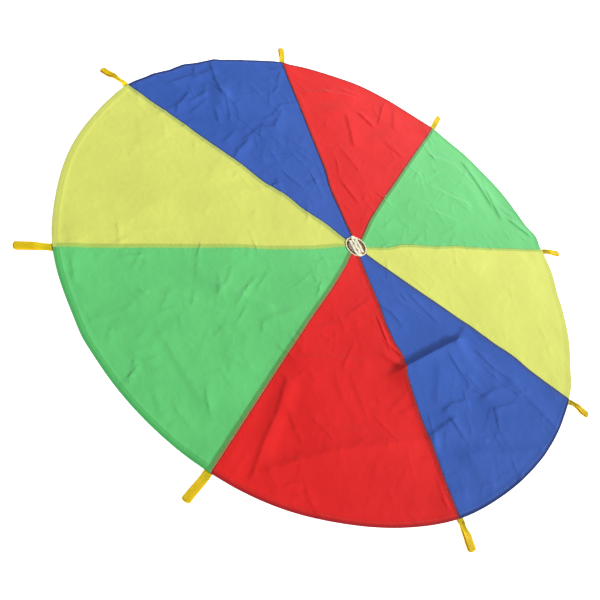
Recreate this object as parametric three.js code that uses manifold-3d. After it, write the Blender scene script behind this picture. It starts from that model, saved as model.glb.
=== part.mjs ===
// A play parachute, spread out on a floor: eight cloth gores sewn round a netted vent, with a webbing hand
// loop at the end of each seam.
// Millimetres, +Z up. The origin is the centre of the rim, on the surface that the cloth lies on.

import * as THREE from 'three';
import { mergeVertices } from 'three/addons/utils/BufferGeometryUtils.js';
import Module from 'manifold-3d';

const wasm = await Module();
wasm.setup();

// Canopy
const rimRadius = 1000; // a canopy 2 m across
const clothThickness = 0.6;
const hemWidth = 18; // the rim is turned under
const seamAllowance = 12; // the folded edge that lies under one side of each seam
const foldedEdgeRun = 2; // cloth over which a folded edge thins to one ply
const pieceGap = 0.3; // between pieces that touch
const foldedPlies = 2;
const foldedThickness = foldedPlies * clothThickness;

// Crown vent
const ventRadius = 40.5; // edge of the cloth
const ventCentreX = 16; // the crown lies a little off the centre of the rim
const ventCentreY = 1;
const ringTapeInner = 39;
const ringTapeOuter = 44;
const ringTapeThickness = 0.8;
const backTapeInner = 29;
const backTapeOuter = 43;
const backTapeThickness = 0.8;
const crownFlatWidth = 6; // cloth that lies on the back tape
const netEdgeGap = 3; // between the ends of the net and the ring tape
const netLength = 2 * (ringTapeInner - netEdgeGap);
const netWidth = 62;
const netCord = 2.6; // thickness of the net's cord
const netBorder = 3.2;
const netDome = 3; // the net stands up a little in the middle
const netTurn = -58; // degrees, the way the net is drawn out
const netPitchLong = 21;
const netPitchWide = 12;
const netStrand = 3.4; // cord left between two openings

// Hand loops
const webbingWidth = 25;
const webbingThickness = 1;
const strapThickness = 2 * webbingThickness; // folded in two
const tailLength = 45; // sewn under the hem
const tailStep = 4; // the upper end is cut shorter than the lower one
const loopLength = 100;
const loopHeight = 9; // where the loop stands open
const hingeReach = 2; // the strap bends just outside the hem
const rollShare = 0.62; // a twist dies out along this much of the loop
const tailMargin = 7; // cloth held up all round the sewn end
const liftRun = 60; // cloth that falls from there to the floor

// Where the cloth lies
const clothOnBackTape = backTapeThickness + pieceGap;
const clothOnStrap = strapThickness + pieceGap;
const strapSideShare = 0.48; // half of the strap lies on one side of the seam, and more
const strapReach = webbingWidth * (0.5 + strapSideShare) + tailMargin * 0.5;
const tailReach = tailLength + tailMargin;
const hingeHeight = (clothOnStrap + foldedThickness + pieceGap + strapThickness) / 2;

// Folds that the cloth keeps
const foldHeight = 12;
const foldHalfWidth = 70;
const billowHeight = 2.4;
const billowLength = 310;
const flatRim = 60; // no fold reaches nearer to the rim or to the vent
const foldFadeRun = 130;

// Grid of a gore
const rowsBetween = 13;
const columnsBetween = 7;
const bandLimitShares = [1, 0.26, 0.3, 0.36]; // how much of a narrow gore the edge columns may take

// The seams, clockwise from the left
const seamAngles = [180.45, 135.84, 89.25, 43.78, 0.17, -44, -88.9, -133.98, -179.55];

// The seams' folded edges lie clockwise of them, apart from the first seam's
const foldedBackSeam = 0;

// Rim radius at each seam and at the quarters of each gore
const rimSharesPerGore = 4;
const rimShares = [
  [1.01, 0.997, 0.998, 0.99],
  [0.997, 0.995, 0.998, 1.001],
  [0.997, 0.995, 1, 1.003],
  [1.013, 1.003, 0.997, 0.997],
  [1.001, 0.995, 0.987, 0.985],
  [0.989, 0.987, 0.988, 0.996],
  [1.001, 1.004, 1.008, 1.011],
  [1.018, 1.012, 1.011, 1.007],
].flat();

// How far each seam strays sideways on its way out, as [place along it, shift] in shares of the rim radius
const seamSwayShares = [
  [[0, 0], [0.1, -0.008], [0.2, 0], [0.28, -0.008], [0.38, 0.002], [0.5, -0.005], [0.7, -0.003], [1, 0]],
  [[0, 0], [0.1, 0.005], [0.24, 0.011], [0.36, 0], [1, 0]],
  [[0, 0], [0.16, 0.012], [0.3, 0.012], [0.5, 0.008], [1, 0]],
  [[0, 0], [0.1, 0], [0.2, 0.016], [0.36, 0.009], [0.48, 0.015], [0.56, 0.008], [0.7, 0.005], [1, 0]],
  [[0, 0], [0.26, 0.004], [0.44, 0.008], [0.52, 0.012], [0.62, 0.009], [0.72, 0.014], [0.82, 0.005], [1, 0]],
  [[0, 0], [0.24, 0.004], [0.3, 0.002], [0.36, 0.007], [0.44, 0.021], [0.52, 0], [1, 0]],
  [[0, 0], [0.08, 0.007], [0.2, 0.008], [0.4, 0.003], [0.6, 0.001], [1, 0]],
  [[0, 0], [0.18, 0.011], [0.3, 0.011], [0.44, 0.004], [0.8, 0.003], [1, 0]],
];

const clothColours = {
  blue: 0x3f5fb4,
  red: 0xdf2b2b,
  green: 0x62cb74,
  yellow: 0xd9e268,
};
const goreColours = ['blue', 'red', 'green', 'yellow', 'blue', 'red', 'green', 'yellow'];

// Each fold as [radius, degrees, radius, degrees, height, width], with the lengths as shares
const foldShares = [
  [0.47, -45, 0.51, -9, 1.25, 0.75],
  [0.71, -43, 0.8, -28, 0.6, 0.8],
  [0.66, -12, 0.86, -22, 0.55, 1.2],
  [0.6, -84, 0.9, -83, 0.6, 0.7],
  [0.79, -74, 0.74, -50, 0.6, 0.9],
  [0.64, -124, 0.48, -107, 0.5, 0.9],
  [0.8, -100, 0.7, -118, 0.3, 1],
  [0.88, 157, 0.76, 166, 0.9, 0.8],
  [0.62, 150, 0.48, 168, 0.5, 0.9],
  [0.7, 128, 0.8, 116, 0.6, 0.8],
  [0.62, 106, 0.8, 100, 0.4, 0.9],
  [0.85, 72, 0.78, 54, 0.5, 0.9],
  [0.55, 80, 0.6, 58, 0.35, 1],
  [0.6, 20, 0.75, 34, 0.3, 1.2],
  [0.7, -160, 0.5, -175, 0.3, 1.2],
];

// One row for each hand loop, clockwise from the left seam. side is the strap's place beside the seam in
// strap widths, counter-clockwise, the roll is in degrees, and the rest are shares of the sizes above.
const handleShares = [
  { side: 0.27, length: 1.03, height: 0.88, midRoll: 19, midSway: 0.09, tipSway: 0.075, tipLift: 0 },
  { side: -0.2, length: 0.9, height: 1.1, midRoll: 0, midSway: -0.02, tipSway: -0.15, tipLift: 0.02 },
  { side: -0.1, length: 0.99, height: 1.15, midRoll: 6, midSway: 0, tipSway: 0.06, tipLift: 0.09 },
  { side: -0.48, length: 0.98, height: 1.1, midRoll: 12, midSway: -0.03, tipSway: -0.1, tipLift: 0 },
  { side: -0.39, length: 0.83, height: 0.96, midRoll: -5, midSway: -0.015, tipSway: -0.1, tipLift: 0.06 },
  { side: 0.03, length: 0.91, height: 1, midRoll: -10, midSway: -0.06, tipSway: -0.04, tipLift: 0.02 },
  { side: -0.22, length: 0.92, height: 0.87, midRoll: 0, midSway: 0, tipSway: -0.1, tipLift: 0 },
  { side: 0, length: 0.98, height: 0.86, midRoll: 0, midSway: 0, tipSway: -0.05, tipLift: 0 },
];

const radians = THREE.MathUtils.degToRad;
const mix = THREE.MathUtils.lerp;
const smooth = (x, low, high) => THREE.MathUtils.smoothstep(x, low, high);
const ventCentre = new THREE.Vector2(ventCentreX, ventCentreY);
const canopy = new THREE.Group();

function fabric(colour, roughness) {
  return new THREE.MeshStandardMaterial({ color: colour, roughness, metalness: 0, side: THREE.DoubleSide });
}

const webbingMaterial = fabric(0xdcb82c, 0.85);
const creamMaterial = fabric(0xf2e6c8, 0.9);
const tanMaterial = fabric(0x8a6534, 0.9);

function addMesh(name, geometry, material, parent = canopy) {
  const mesh = new THREE.Mesh(geometry, material);
  mesh.name = name;
  parent.add(mesh);
  return mesh;
}

function degreesAt(gore, across) {
  return mix(seamAngles[gore], seamAngles[gore + 1], across);
}

function direction(degrees) {
  return new THREE.Vector2(Math.cos(radians(degrees)), Math.sin(radians(degrees)));
}

// The rim's radius share, as a smooth closed curve through the listed ones
function rimShareAt(gore, across) {
  const place = rimSharesPerGore * (gore + across);
  const first = Math.floor(place);
  const t = place - first;
  const count = rimShares.length;
  const [a, b, c, d] = [-1, 0, 1, 2].map((step) => rimShares[(first + step + count) % count]);
  const slope = (c - a) / 2;
  const nextSlope = (d - b) / 2;
  const bend = 3 * (c - b) - 2 * slope - nextSlope;
  const turn = 2 * (b - c) + slope + nextSlope;
  return b + t * (slope + t * (bend + t * turn));
}

function rimPoint(gore, across) {
  return direction(degreesAt(gore, across)).multiplyScalar(rimRadius * rimShareAt(gore, across));
}

function ventPoint(gore, across) {
  return direction(degreesAt(gore, across)).multiplyScalar(ventRadius).add(ventCentre);
}

function swayAt(seam, out) {
  const places = seamSwayShares[seam % seamSwayShares.length];
  const next = places.findIndex((place) => place[0] >= out);
  if (next <= 0) return 0;
  const [from, to] = [places[next - 1], places[next]];
  const t = smooth(out, from[0], to[0]);
  return rimRadius * mix(from[1], to[1], t);
}

function distanceToSegment(point, start, end) {
  const along = end.clone().sub(start);
  const t = THREE.MathUtils.clamp(point.clone().sub(start).dot(along) / along.lengthSq(), 0, 1);
  return [point.distanceTo(start.clone().addScaledVector(along, t)), t];
}

// A fold is a rounded ridge that dies away at both ends
const folds = foldShares.map(([startShare, startTurn, endShare, endTurn, heightShare, widthShare]) => ({
  start: direction(startTurn).multiplyScalar(rimRadius * startShare),
  end: direction(endTurn).multiplyScalar(rimRadius * endShare),
  height: foldHeight * heightShare,
  halfWidth: foldHalfWidth * widthShare,
}));

function foldHeightAt(point) {
  let height = 0;
  for (const fold of folds) {
    const [away, along] = distanceToSegment(point, fold.start, fold.end);
    if (away < fold.halfWidth) {
      const ridge = Math.cos((Math.PI / 2) * (away / fold.halfWidth)) ** 2;
      const ends = 0.35 + 0.65 * Math.sin(Math.PI * along);
      height += fold.height * ridge * ends;
    }
  }
  const waveX = Math.sin((2 * Math.PI * (point.x + 0.6 * point.y)) / billowLength);
  const waveY = Math.sin((2 * Math.PI * (point.y - 0.4 * point.x)) / billowLength);
  return height + (billowHeight * (2 + waveX + waveY)) / 4;
}

// Height of the cloth's underside. fromVent and fromRim are measured along the gore, fromSeam across it.
function undersideAt(point, fromVent, fromRim, fromSeam) {
  const onTape = clothOnBackTape * (1 - smooth(fromVent, crownFlatWidth, crownFlatWidth + liftRun));
  const besideStrap = 1 - smooth(fromSeam, strapReach, strapReach + liftRun);
  const aboveStrap = 1 - smooth(fromRim, tailReach, tailReach + liftRun);
  const [fadeStart, fadeEnd] = [flatRim, flatRim + foldFadeRun];
  const free = smooth(fromVent, fadeStart, fadeEnd) * smooth(fromRim, fadeStart, fadeEnd);
  return onTape + clothOnStrap * besideStrap * aboveStrap + foldHeightAt(point) * free;
}

// Places across a gore: the seam allowance and the strap's reach at fixed distances from both seams, the
// rest evenly
function columnsAcross(width) {
  const distances = [pieceGap / 2, seamAllowance, seamAllowance + foldedEdgeRun, strapReach];
  const edge = distances.map((distance, i) => Math.min(distance / width, bandLimitShares[i]));
  const inner = edge[edge.length - 1];
  const between = [];
  for (let i = 1; i < columnsBetween; i += 1) {
    between.push(mix(inner, 1 - inner, i / columnsBetween));
  }
  return [...edge, ...between, ...edge.map((share) => 1 - share).reverse()];
}

// Places along a gore, as distances from the vent
function rowsAlong(length) {
  const rows = [0, crownFlatWidth];
  const last = length - tailReach;
  for (let i = 1; i < rowsBetween; i += 1) {
    rows.push(mix(crownFlatWidth, last, i / rowsBetween));
  }
  rows.push(last, length - hemWidth - foldedEdgeRun, length - hemWidth, length);
  return rows;
}

function closedSheet(upper, lower) {
  const rows = upper.length;
  const columns = upper[0].length;
  const positions = [...upper.flat(), ...lower.flat()].flatMap((p) => [p.x, p.y, p.z]);
  const top = (i, j) => i * columns + j;
  const bottom = (i, j) => rows * columns + top(i, j);
  const index = [];
  const quad = (a, b, c, d) => index.push(a, b, c, a, c, d);
  const lastRow = rows - 1;
  const lastColumn = columns - 1;
  for (let i = 0; i < lastRow; i += 1) {
    for (let j = 0; j < lastColumn; j += 1) {
      quad(top(i, j), top(i, j + 1), top(i + 1, j + 1), top(i + 1, j));
      quad(bottom(i, j), bottom(i + 1, j), bottom(i + 1, j + 1), bottom(i, j + 1));
    }
    quad(top(i, 0), top(i + 1, 0), bottom(i + 1, 0), bottom(i, 0));
    quad(top(i + 1, lastColumn), top(i, lastColumn), bottom(i, lastColumn), bottom(i + 1, lastColumn));
  }
  for (let j = 0; j < lastColumn; j += 1) {
    quad(top(0, j + 1), top(0, j), bottom(0, j), bottom(0, j + 1));
    quad(top(lastRow, j), top(lastRow, j + 1), bottom(lastRow, j + 1), bottom(lastRow, j));
  }
  const geometry = new THREE.BufferGeometry();
  geometry.setAttribute('position', new THREE.Float32BufferAttribute(positions, 3));
  geometry.setIndex(index);
  geometry.computeVertexNormals();
  return geometry;
}

// A gore is one sheet from the vent to the rim, thicker along its hem and where a seam's folded edge lies
// under it. Neighbours share the seam's line and the heights along it.
function goreGeometry(gore) {
  const upper = [];
  const lower = [];
  const span = radians(seamAngles[gore] - seamAngles[gore + 1]);
  const middleLength = rimPoint(gore, 0.5).distanceTo(ventPoint(gore, 0.5));
  const foldAtStart = gore !== foldedBackSeam;
  const foldAtEnd = gore + 1 === foldedBackSeam + goreColours.length;
  rowsAlong(middleLength).forEach((rowDistance, row, rows) => {
    const out = rowDistance / middleLength;
    const radius = mix(ventRadius, rimRadius, out);
    const width = radius * span;
    const upperRow = [];
    const lowerRow = [];
    columnsAcross(width).forEach((across, column, columns) => {
      const length = rimPoint(gore, across).distanceTo(ventPoint(gore, across));
      const fromVent = rowsAlong(length)[row];
      const sway = mix(swayAt(gore, out), swayAt(gore + 1, out), across);
      const place = ventPoint(gore, across).lerp(rimPoint(gore, across), fromVent / length);
      place.addScaledVector(direction(degreesAt(gore, across) + 90), sway);
      const fromSeam = width * Math.min(across, 1 - across);
      const base = undersideAt(place, fromVent, length - fromVent, fromSeam);
      const onFold = (foldAtStart && column < 2) || (foldAtEnd && column >= columns.length - 2);
      const folded = row >= rows.length - 2 || (row > 1 && onFold);
      const thickness = folded ? foldedThickness : clothThickness;
      lowerRow.push(new THREE.Vector3(place.x, place.y, base));
      upperRow.push(new THREE.Vector3(place.x, place.y, base + thickness));
    });
    upper.push(upperRow);
    lower.push(lowerRow);
  });
  return closedSheet(upper, lower);
}

goreColours.forEach((colour, gore) => {
  addMesh(`gore_${gore + 1}_${colour}`, goreGeometry(gore), fabric(clothColours[colour], 0.45));
});

// Crown: two tape rings with the cloth's edge between them, and the net on the lower one
function tapeRing(inner, outer, bottom, thickness) {
  const segments = 40;
  const profile = [
    [inner, bottom],
    [outer, bottom],
    [outer, bottom + thickness],
    [inner, bottom + thickness],
    [inner, bottom],
  ].map(([radius, height]) => new THREE.Vector2(radius, height));
  const ring = new THREE.LatheGeometry(profile, segments);
  ring.rotateX(Math.PI / 2);
  return ring;
}

function solidFrom(geometry) {
  const bare = geometry.clone();
  bare.deleteAttribute('normal');
  bare.deleteAttribute('uv');
  const merged = mergeVertices(bare);
  return new wasm.Manifold(
    new wasm.Mesh({
      numProp: 3,
      vertProperties: merged.attributes.position.array,
      triVerts: new Uint32Array(merged.index.array),
    }),
  );
}

function geometryFrom(solid) {
  const mesh = solid.getMesh();
  const geometry = new THREE.BufferGeometry();
  geometry.setAttribute('position', new THREE.BufferAttribute(mesh.vertProperties, 3));
  geometry.setIndex(new THREE.BufferAttribute(mesh.triVerts, 1));
  return geometry;
}

function ovalPlate(length, width, thickness, overrun) {
  const outline = new THREE.Shape().absellipse(0, 0, length / 2, width / 2, 0, 2 * Math.PI);
  const plate = new THREE.ExtrudeGeometry(outline, {
    depth: thickness + 2 * overrun,
    bevelEnabled: false,
    curveSegments: 40,
  });
  return plate.translate(0, 0, -overrun);
}

// One opening of the drawn-out net: two shallow arcs that meet in points
function netOpening(centreX, centreY) {
  const halfLong = (netPitchLong - netStrand / 2) / 2;
  const halfWide = (netPitchWide - netStrand) / 2;
  const steps = 4;
  const outline = [];
  for (let side = 1; side >= -1; side -= 2) {
    for (let i = 0; i < steps; i += 1) {
      const t = -1 + (2 * i) / steps;
      outline.push(new THREE.Vector2(centreX - side * t * halfLong, centreY + side * halfWide * (1 - t * t)));
    }
  }
  const opening = new THREE.ExtrudeGeometry(new THREE.Shape(outline), {
    depth: netCord + 2 * pieceGap,
    bevelEnabled: false,
  });
  return solidFrom(opening.translate(0, 0, -pieceGap));
}

function netGeometry() {
  const inner = solidFrom(ovalPlate(netLength - 2 * netBorder, netWidth - 2 * netBorder, netCord, pieceGap));
  const rowCount = Math.ceil(netWidth / netPitchWide);
  const columnCount = Math.ceil(netLength / netPitchLong);
  let openings = null;
  for (let row = -rowCount; row <= rowCount; row += 1) {
    for (let column = -columnCount; column <= columnCount; column += 1) {
      const stagger = row % 2 ? netPitchLong / 2 : 0;
      const opening = netOpening(column * netPitchLong + stagger, (row * netPitchWide) / 2);
      openings = openings ? openings.add(opening) : opening;
    }
  }
  const net = solidFrom(ovalPlate(netLength, netWidth, netCord, 0)).subtract(openings.intersect(inner));
  const geometry = geometryFrom(net);
  const positions = geometry.attributes.position;
  for (let i = 0; i < positions.count; i += 1) {
    const nearEdge = Math.hypot(positions.getX(i) / (netLength / 2), positions.getY(i) / (netWidth / 2));
    positions.setZ(i, positions.getZ(i) + netDome * (1 - nearEdge * nearEdge));
  }
  geometry.computeVertexNormals();
  return geometry.rotateZ(radians(netTurn));
}

const crown = new THREE.Group();
crown.position.set(ventCentreX, ventCentreY, 0);
canopy.add(crown);
const ringTapeBottom = clothOnBackTape + clothThickness + pieceGap;
const backTape = tapeRing(backTapeInner, backTapeOuter, 0, backTapeThickness);
const ringTape = tapeRing(ringTapeInner, ringTapeOuter, ringTapeBottom, ringTapeThickness);
addMesh('crown_back_tape', backTape, tanMaterial, crown);
addMesh('crown_ring_tape', ringTape, creamMaterial, crown);
addMesh('crown_net', netGeometry().translate(0, 0, clothOnBackTape), creamMaterial, crown);

// The two sewn ends of the strap, one on the other under the hem. The outline is the strap seen from its
// side: x runs out from the rim, y is the height.
function tailGeometry() {
  const inner = -tailLength;
  const outer = hingeReach - pieceGap / 2;
  const outline = [
    [inner, 0],
    [outer, 0],
    [outer, strapThickness],
    [inner + tailStep, strapThickness],
    [inner + tailStep, webbingThickness],
    [inner, webbingThickness],
  ].map(([x, y]) => new THREE.Vector2(x, y));
  const shape = new THREE.Shape(outline);
  const strap = new THREE.ExtrudeGeometry(shape, { depth: webbingWidth, bevelEnabled: false });
  return strap.translate(0, 0, -webbingWidth / 2).rotateX(Math.PI / 2);
}

// The strap as a flat loop, seen from its side, in pairs of points on its outer and inner faces. The lower
// ply lies flat, the end is round and the upper ply swells out from where the two part. Nearer to the bend
// the plies lie on each other, so there the inner points all fall on the parting.
function loopSection(length, height) {
  const partingShare = 0.1;
  const swellShare = 0.42;
  const stations = 14;
  const arcSteps = 6;
  const radius = height / 2;
  const straightShare = 1 - radius / length;
  const swollen = partingShare + swellShare;
  const upperAt = (share) => mix(strapThickness, height, smooth(share, partingShare, swollen));
  const shares = [0];
  for (let i = 0; i <= stations; i += 1) {
    shares.push(mix(partingShare, straightShare, i / stations));
  }
  const pair = (share, outerHeight, innerHeight) => ({
    outer: new THREE.Vector2(share * length, outerHeight),
    inner: new THREE.Vector2(Math.max(share, partingShare) * length, innerHeight),
  });
  const lower = shares.map((share) => pair(share, 0, webbingThickness));
  const upper = shares.map((share) => pair(share, upperAt(share), upperAt(share) - webbingThickness));
  const end = [];
  const endCentre = new THREE.Vector2(straightShare * length, radius);
  for (let i = 1; i < arcSteps; i += 1) {
    const outwards = direction(-90 + (180 * i) / arcSteps);
    end.push({
      outer: endCentre.clone().addScaledVector(outwards, radius),
      inner: endCentre.clone().addScaledVector(outwards, radius - webbingThickness),
    });
  }
  return [...lower, ...end, ...upper.reverse()];
}

// Sweeps the section across the webbing's width. placeAt sets each point down.
function loopSolid(section, placeAt) {
  const stepsAcross = 3;
  const points = [];
  for (let step = 0; step <= stepsAcross; step += 1) {
    const across = webbingWidth * (step / stepsAcross - 0.5);
    section.forEach(({ outer, inner }) => points.push(placeAt(outer, across), placeAt(inner, across)));
  }
  const index = [];
  const triangle = (a, b, c) => {
    const flat = points[a].equals(points[b]) || points[b].equals(points[c]) || points[c].equals(points[a]);
    if (!flat) index.push(a, b, c);
  };
  const quad = (a, b, c, d) => {
    triangle(a, b, c);
    triangle(a, c, d);
  };
  const outerAt = (step, i) => 2 * (step * section.length + (i % section.length));
  const innerAt = (step, i) => outerAt(step, i) + 1;
  for (let i = 0; i < section.length; i += 1) {
    for (let step = 0; step < stepsAcross; step += 1) {
      quad(outerAt(step, i), outerAt(step + 1, i), outerAt(step + 1, i + 1), outerAt(step, i + 1));
      quad(innerAt(step, i), innerAt(step, i + 1), innerAt(step + 1, i + 1), innerAt(step + 1, i));
    }
    const far = stepsAcross;
    quad(outerAt(0, i), outerAt(0, i + 1), innerAt(0, i + 1), innerAt(0, i));
    quad(outerAt(far, i), innerAt(far, i), innerAt(far, i + 1), outerAt(far, i + 1));
  }
  const geometry = new THREE.BufferGeometry().setFromPoints(points);
  geometry.setIndex(index);
  geometry.computeVertexNormals();
  return geometry;
}

// Rolls, sways and lifts the flat loop by amounts that grow along it
function loopGeometry(handle) {
  const length = loopLength * handle.length;
  const height = loopHeight * handle.height;
  const centre = height / 2;
  return loopSolid(loopSection(length, height), (point, across) => {
    const along = point.x / length;
    const middle = Math.sin(Math.PI * Math.min(1, along / rollShare)) ** 2;
    const towardsTip = smooth(along, 0, 1);
    const roll = radians(handle.midRoll * middle);
    const sway = loopLength * (handle.midSway * middle + handle.tipSway * towardsTip);
    const lift = (webbingWidth / 2) * Math.abs(Math.sin(roll)) + loopLength * handle.tipLift * towardsTip;
    const above = point.y - centre;
    return new THREE.Vector3(
      point.x,
      sway + across * Math.cos(roll) - above * Math.sin(roll),
      centre + lift + above * Math.cos(roll) + across * Math.sin(roll),
    );
  });
}

// Each strap sits square to the rim, beside its seam. The loop turns about its bend, level with the hem, so
// that it can be folded back until it lies over the cloth.
handleShares.forEach((handle, seam) => {
  const corner = rimPoint(seam, 0);
  const outward = corner.clone().normalize();
  const sideways = new THREE.Vector2(-outward.y, outward.x);
  const root = corner.addScaledVector(sideways, handle.side * webbingWidth);
  const place = new THREE.Group();
  place.position.set(root.x, root.y, 0);
  place.rotation.z = Math.atan2(outward.y, outward.x);
  canopy.add(place);
  addMesh(`handle_${seam + 1}_sewn_ends`, tailGeometry(), webbingMaterial, place);
  const bend = new THREE.Group();
  bend.position.set(hingeReach, 0, hingeHeight);
  place.add(bend);
  const loop = loopGeometry(handle).translate(pieceGap / 2, 0, -hingeHeight);
  addMesh(`handle_${seam + 1}_loop`, loop, webbingMaterial, bend);
});

export default canopy;
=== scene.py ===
import math

import bmesh
import bpy
import numpy as np
from mathutils import Matrix, Vector


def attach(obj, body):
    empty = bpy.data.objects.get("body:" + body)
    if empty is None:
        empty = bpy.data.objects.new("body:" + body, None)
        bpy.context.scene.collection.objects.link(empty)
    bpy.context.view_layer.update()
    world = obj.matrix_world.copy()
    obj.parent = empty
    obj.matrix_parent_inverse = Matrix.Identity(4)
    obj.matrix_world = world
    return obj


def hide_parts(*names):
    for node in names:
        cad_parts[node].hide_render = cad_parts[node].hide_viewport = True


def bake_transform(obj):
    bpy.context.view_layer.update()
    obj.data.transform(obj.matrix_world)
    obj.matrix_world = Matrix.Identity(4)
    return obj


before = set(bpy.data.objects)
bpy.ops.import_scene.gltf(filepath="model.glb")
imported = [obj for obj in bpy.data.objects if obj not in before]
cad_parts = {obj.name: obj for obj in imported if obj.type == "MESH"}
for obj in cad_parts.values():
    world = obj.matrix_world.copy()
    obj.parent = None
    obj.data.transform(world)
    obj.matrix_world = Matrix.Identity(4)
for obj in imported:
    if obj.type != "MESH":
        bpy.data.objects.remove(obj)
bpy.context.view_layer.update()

MM = 0.001
GORES = 8

# The canopy's driving sizes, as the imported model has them
RIM_RADIUS = 1000 * MM
CAD_PLY = 0.6 * MM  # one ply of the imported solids
HEM_WIDTH = 18 * MM
SEAM_ALLOWANCE = 12 * MM
PIECE_GAP = 0.3 * MM
VENT_RADIUS = 40.5 * MM
VENT_CENTRE = np.array([16, 1]) * MM
RING_TAPE_INNER = 39 * MM
RING_TAPE_OUTER = 44 * MM
BACK_TAPE_INNER = 29 * MM
BACK_TAPE_OUTER = 43 * MM
TAPE_THICKNESS = 0.8 * MM
CROWN_FLAT_WIDTH = 6 * MM
WEBBING_WIDTH = 25 * MM
WEBBING_THICKNESS = 1 * MM
TAIL_LENGTH = 45 * MM
TAIL_STEP = 4 * MM
LOOP_LENGTH = 100 * MM
LOOP_HEIGHT = 9 * MM
HINGE_REACH = 2 * MM
LOOP_START = HINGE_REACH + PIECE_GAP / 2
ROLL_SHARE = 0.62
PARTING_SHARE = 0.1
SWELL_SHARE = 0.42
TAIL_MARGIN = 7 * MM
LIFT_RUN = 60 * MM
STRAP_SIDE_SHARE = 0.48
CLOTH_ON_BACK_TAPE = TAPE_THICKNESS + PIECE_GAP
CLOTH_ON_STRAP = 2 * WEBBING_THICKNESS + PIECE_GAP
RING_TAPE_BOTTOM = CLOTH_ON_BACK_TAPE + CAD_PLY + PIECE_GAP
STRAP_REACH = WEBBING_WIDTH * (0.5 + STRAP_SIDE_SHARE) + TAIL_MARGIN / 2
TAIL_REACH = TAIL_LENGTH + TAIL_MARGIN

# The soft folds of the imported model, and the waves that the whole cloth lies in
FOLD_HEIGHT = 5 * MM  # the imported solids' folds are fuller
FOLD_HALF_WIDTH = 70 * MM
FOLD_END_SHARE = 0.35  # of a fold's height, left at its ends
BILLOW_HEIGHT = 2.4 * MM
BILLOW_LENGTH = 310 * MM
BILLOW_SLANTS = (0.6, -0.4)
FLAT_RIM = 60 * MM
FOLD_FADE_RUN = 130 * MM

# Seams clockwise from the left, and the rim's radius at each seam and at the quarters of each gore
SEAM_ANGLES = np.array([180.45, 135.84, 89.25, 43.78, 0.17, -44, -88.9, -133.98, -179.55])
RIM_SHARES_PER_GORE = 4
RIM_SHARES = np.array(
    [
        [1.01, 0.997, 0.998, 0.99],
        [0.997, 0.995, 0.998, 1.001],
        [0.997, 0.995, 1, 1.003],
        [1.013, 1.003, 0.997, 0.997],
        [1.001, 0.995, 0.987, 0.985],
        [0.989, 0.987, 0.988, 0.996],
        [1.001, 1.004, 1.008, 1.011],
        [1.018, 1.012, 1.011, 1.007],
    ]
).ravel()
RIM_WAVE_CORNER = 0.05  # the share of the gore beside a seam in which they die out
# Where the hem waves in or out a little, as gore, place across it, height in mm and half width across
RIM_WAVES = [
    (0, 0.17, 3, 0.03),
    (0, 0.27, -3, 0.03),
    (0, 0.37, 3, 0.03),
    (0, 0.57, 5, 0.03),
    (0, 0.46, -4, 0.05),
    (1, 0.05, -5, 0.05),
    (1, 0.49, 5, 0.1),
    (1, 0.81, -6, 0.14),
    (2, 0.27, 5.5, 0.12),
    (2, 0.6, 6, 0.14),
    (2, 0.905, 19, 0.05),
    (3, 0.15, 7, 0.08),
    (3, 0.316, -4, 0.05),
    (3, 0.6, 4, 0.14),
    (3, 0.9, 5, 0.07),
    (6, 0.63, 3, 0.06),
]
# How far each seam sways aside, as pairs of the share of the way out and the share of the rim's radius
SEAM_SWAY_SHARES = [
    [(0, 0), (0.1, -0.008), (0.2, 0), (0.28, -0.008), (0.38, 0.002), (0.5, -0.005), (0.7, -0.003), (1, 0)],
    [(0, 0), (0.1, 0.005), (0.24, 0.011), (0.36, 0), (1, 0)],
    [(0, 0), (0.16, 0.012), (0.3, 0.012), (0.5, 0.008), (1, 0)],
    [(0, 0), (0.1, 0), (0.2, 0.016), (0.36, 0.009), (0.48, 0.015), (0.56, 0.008), (0.7, 0.005), (1, 0)],
    [
        (0, 0), (0.26, 0.004), (0.44, 0.008), (0.52, 0.012),
        (0.62, 0.009), (0.72, 0.014), (0.82, 0.005), (1, 0),
    ],
    [(0, 0), (0.24, 0.004), (0.3, 0.002), (0.36, 0.007), (0.44, 0.021), (0.52, 0), (1, 0)],
    [(0, 0), (0.08, 0.007), (0.2, 0.008), (0.4, 0.003), (0.6, 0.001), (1, 0)],
    [(0, 0), (0.18, 0.011), (0.3, 0.011), (0.44, 0.004), (0.8, 0.003), (1, 0)],
]

# Soft folds as radius and degrees at both ends, with the height and width as shares
FOLD_SHARES = [
    (0.47, -45, 0.51, -9, 0.4, 0.75),
    (0.71, -43, 0.8, -28, 0.6, 0.8),
    (0.66, -12, 0.86, -22, 0.55, 1.2),
    (0.6, -84, 0.9, -83, 0.6, 0.7),
    (0.79, -74, 0.74, -50, 0.6, 0.9),
    (0.64, -124, 0.48, -107, 0.5, 0.9),
    (0.8, -100, 0.7, -118, 0.3, 1),
    (0.88, 157, 0.76, 166, 0.9, 0.8),
    (0.62, 150, 0.48, 168, 0.5, 0.9),
    (0.7, 128, 0.8, 116, 0.6, 0.8),
    (0.62, 106, 0.8, 100, 0.4, 0.9),
    (0.85, 72, 0.78, 54, 0.5, 0.9),
    (0.55, 80, 0.6, 58, 0.35, 1),
    (0.6, 20, 0.75, 34, 0.3, 1.2),
    (0.7, -160, 0.5, -175, 0.3, 1.2),
]

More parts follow.
